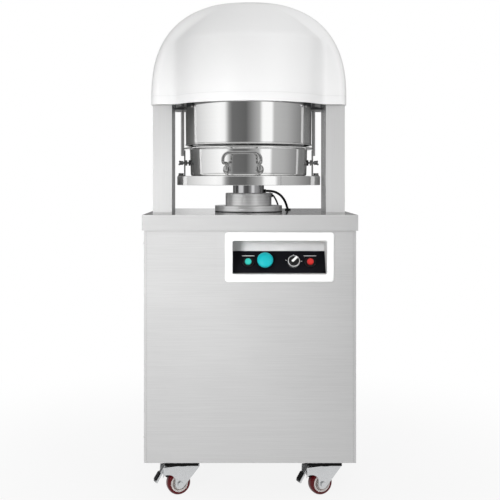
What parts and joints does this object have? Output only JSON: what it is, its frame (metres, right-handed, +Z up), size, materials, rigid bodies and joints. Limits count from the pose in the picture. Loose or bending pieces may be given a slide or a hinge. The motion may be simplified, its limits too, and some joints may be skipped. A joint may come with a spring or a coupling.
{
  "type": "dough divider",
  "caption": "Floor-standing hydraulic dough divider: castored steel cabinet, twin posts, domed white hood over a steel bowl, lifted round dough pan and recessed controls.",
  "frame": {"origin": "on the floor below the middle of the machine's plan, under the ram axis", "axes": "+Z up, +X to the right seen from the operator's side, +Y towards the back"},
  "size_m": [0.546, 0.5, 1.3075],
  "materials": {
    "brushed_panel": "fine horizontal brushing",
    "frame_paint": "satin grey paint",
    "white_moulding": "gloss white",
    "bright_steel": "polished",
    "turned_steel": "turned",
    "hard_chrome": "mirror",
    "zinc": "zinc plated",
    "pedal_zinc": "zinc plated, black tip",
    "red_tyre": "moulded, satin",
    "black_rubber": "matt",
    "black_plastic": "satin black",
    "recess_grey": "satin grey",
    "motor_grey": "satin",
    "selector_black": "black with a white pointer",
    "signal_green": "gloss green",
    "signal_teal": "gloss teal green",
    "signal_red": "gloss red"
  },
  "bodies": {
    "cabinet": {"base_frame": "frame_paint", "bed_plate": "frame_paint", "table_top": "brushed_panel", "front_panel": "brushed_panel", "left_side_panel": "brushed_panel", "right_side_panel": "brushed_panel", "rear_panel": "brushed_panel", "cover_screws": "zinc", "left_post": "brushed_panel", "right_post": "brushed_panel", "frame_bolts": "zinc", "head_bridge": "frame_paint", "hood": "white_moulding", "rod_brackets": "frame_paint", "guide_rods": "bright_steel", "knife_carrier": "bright_steel", "knife_grid": "bright_steel", "ram_gland": "turned_steel", "flange_gasket": "black_rubber", "cylinder_barrel": "turned_steel", "ram_sensors": "black_plastic", "thick_sensor_cable": "black_rubber", "thin_sensor_cable": "black_rubber", "cable_grommets": "black_rubber", "mains_gland": "black_plastic", "oil_tank": "frame_paint", "pump_motor": "motor_grey", "oil_fittings": "zinc", "electrical_box": "frame_paint", "control_bezel": "white_moulding", "control_recess": "recess_grey", "control_plate": "black_plastic", "switch_bodies": "black_plastic", "selector_ring": "hard_chrome", "castor_plates": "zinc"},
    "lift": {"ram": "hard_chrome", "platform": "bright_steel", "pan_brackets": "bright_steel"},
    "pan": {"dough_pan": "bright_steel", "pan_handle": "bright_steel"},
    "left_clamp": {"left_screw_pad": "black_rubber"},
    "right_clamp": {"right_screw_pad": "black_rubber"},
    "left_wing_screw": {"left_wing_screw": "bright_steel"},
    "right_wing_screw": {"right_wing_screw": "bright_steel"},
    "guard": {"guard_bowl": "bright_steel"},
    "press": {"press_head": "bright_steel"},
    "green_button": {"green_button": "signal_green"},
    "red_button": {"red_button": "signal_red"},
    "start_button": {"start_button": "signal_teal"},
    "selector": {"selector_knob": "selector_black"},
    "front_left_castor": {"front_left_castor_fork": "zinc"},
    "front_left_wheel": {"front_left_castor_wheel": "red_tyre"},
    "front_left_brake": {"front_left_brake_pedal": "pedal_zinc"},
    "front_right_castor": {"front_right_castor_fork": "zinc"},
    "front_right_wheel": {"front_right_castor_wheel": "red_tyre"},
    "front_right_brake": {"front_right_brake_pedal": "pedal_zinc"},
    "rear_left_castor": {"rear_left_castor_fork": "zinc"},
    "rear_left_wheel": {"rear_left_castor_wheel": "red_tyre"},
    "rear_right_castor": {"rear_right_castor_fork": "zinc"},
    "rear_right_wheel": {"rear_right_castor_wheel": "red_tyre"}
  },
  "joints": [
    {"name": "ram_lift", "type": "slide", "parent": "cabinet", "child": "lift", "axis": [0, 0, 1], "range_m": [0, 0.08]},
    {"name": "guard_lift", "type": "slide", "parent": "cabinet", "child": "guard", "axis": [0, 0, 1], "range_m": [0, 0.08]},
    {"name": "press_lift", "type": "slide", "parent": "cabinet", "child": "press", "axis": [0, 0, 1], "range_m": [0, 0.06]},
    {"name": "pan_draw", "type": "slide", "parent": "lift", "child": "pan", "axis": [0, -1, 0], "range_m": [0, 0.43]},
    {"name": "left_clamp_slide", "type": "slide", "parent": "lift", "child": "left_clamp", "axis": [-1, 0, 0], "range_m": [0, 0.004]},
    {"name": "left_wing_turn", "type": "hinge", "parent": "left_clamp", "child": "left_wing_screw", "pos_m": [-0.1843, 0, 0.867], "axis": [-1, 0, 0], "range_deg": [0, 1152]},
    {"name": "right_clamp_slide", "type": "slide", "parent": "lift", "child": "right_clamp", "axis": [1, 0, 0], "range_m": [0, 0.004]},
    {"name": "right_wing_turn", "type": "hinge", "parent": "right_clamp", "child": "right_wing_screw", "pos_m": [0.1843, 0, 0.867], "axis": [1, 0, 0], "range_deg": [0, 1152]},
    {"name": "green_button_press", "type": "slide", "parent": "cabinet", "child": "green_button", "axis": [0, 0.866, -0.5], "range_m": [0, 0.0035], "stiffness_N_per_m": 700, "springref_m": -0.003},
    {"name": "red_button_press", "type": "slide", "parent": "cabinet", "child": "red_button", "axis": [0, 0.866, -0.5], "range_m": [0, 0.0035], "stiffness_N_per_m": 700, "springref_m": -0.003},
    {"name": "start_button_press", "type": "slide", "parent": "cabinet", "child": "start_button", "axis": [0, 0.866, -0.5], "range_m": [0, 0.005], "stiffness_N_per_m": 900, "springref_m": -0.004},
    {"name": "selector_turn", "type": "hinge", "parent": "cabinet", "child": "selector", "pos_m": [0.1128, -0.20825, 0.60705], "axis": [0, -0.866, 0.5], "range_deg": [0, 90]},
    {"name": "front_left_swivel", "type": "hinge", "parent": "cabinet", "child": "front_left_castor", "pos_m": [-0.175, -0.1675, 0.074], "axis": [0, 0, 1], "continuous": true},
    {"name": "front_left_roll", "type": "hinge", "parent": "front_left_castor", "child": "front_left_wheel", "pos_m": [-0.18628, -0.1716, 0.031], "axis": [0.342, -0.9397, 0], "continuous": true},
    {"name": "front_left_brake_press", "type": "hinge", "parent": "front_left_castor", "child": "front_left_brake", "pos_m": [-0.22011, -0.18392, 0.072], "axis": [0.342, -0.9397, 0], "range_deg": [0, 9]},
    {"name": "front_right_swivel", "type": "hinge", "parent": "cabinet", "child": "front_right_castor", "pos_m": [0.195, -0.1675, 0.074], "axis": [0, 0, 1], "continuous": true},
    {"name": "front_right_roll", "type": "hinge", "parent": "front_right_castor", "child": "front_right_wheel", "pos_m": [0.18372, -0.1716, 0.031], "axis": [0.342, -0.9397, 0], "continuous": true},
    {"name": "front_right_brake_press", "type": "hinge", "parent": "front_right_castor", "child": "front_right_brake", "pos_m": [0.14989, -0.18392, 0.072], "axis": [0.342, -0.9397, 0], "range_deg": [0, 9]},
    {"name": "rear_left_swivel", "type": "hinge", "parent": "cabinet", "child": "rear_left_castor", "pos_m": [-0.175, 0.1525, 0.074], "axis": [0, 0, 1], "continuous": true},
    {"name": "rear_left_roll", "type": "hinge", "parent": "rear_left_castor", "child": "rear_left_wheel", "pos_m": [-0.18628, 0.1484, 0.031], "axis": [0.342, -0.9397, 0], "continuous": true},
    {"name": "rear_right_swivel", "type": "hinge", "parent": "cabinet", "child": "rear_right_castor", "pos_m": [0.195, 0.1525, 0.074], "axis": [0, 0, 1], "continuous": true},
    {"name": "rear_right_roll", "type": "hinge", "parent": "rear_right_castor", "child": "rear_right_wheel", "pos_m": [0.18372, 0.1484, 0.031], "axis": [0.342, -0.9397, 0], "continuous": true}
  ],
  "couplings": [
    {"joint": "guard_lift", "follows": "ram_lift", "ratio": 1},
    {"joint": "left_wing_turn", "follows": "left_clamp_slide", "rad_per_m": 5026.5},
    {"joint": "right_wing_turn", "follows": "right_clamp_slide", "rad_per_m": 5026.5}
  ]
}
